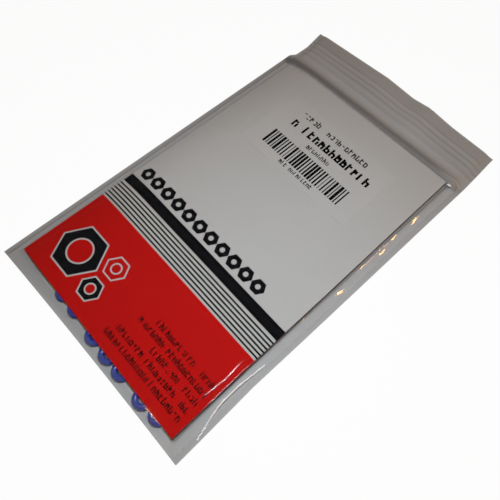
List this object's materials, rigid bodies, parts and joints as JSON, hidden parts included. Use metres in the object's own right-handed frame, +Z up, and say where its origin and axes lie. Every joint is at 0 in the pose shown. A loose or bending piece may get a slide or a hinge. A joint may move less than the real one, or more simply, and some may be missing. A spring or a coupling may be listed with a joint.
{
  "type": "bagged set of o-ring picks",
  "caption": "Clear zip bag lying flat, holding a printed insert card and blue moulded plastic o-ring picks with ring eyes and hooked points.",
  "frame": {"origin": "under the middle of the bag, on the surface that it lies on", "axes": "+X across the bag, +Y from the bottom fold to the zip, +Z up through the front film"},
  "size_m": [0.0762, 0.132, 0.0026],
  "materials": {
    "film": "clear glossy film",
    "card_stock": "smooth printed card",
    "label_paper": "matt paper",
    "pick_plastic": "moulded gloss"
  },
  "bodies": {
    "root": {"bag": "film", "card": "card_stock", "label": "label_paper", "pick_01": "pick_plastic", "pick_02": "pick_plastic", "pick_03": "pick_plastic", "pick_04": "pick_plastic", "pick_05": "pick_plastic", "pick_06": "pick_plastic", "pick_07": "pick_plastic", "pick_08": "pick_plastic", "pick_09": "pick_plastic", "pick_10": "pick_plastic"}
  },
  "joints": []
}
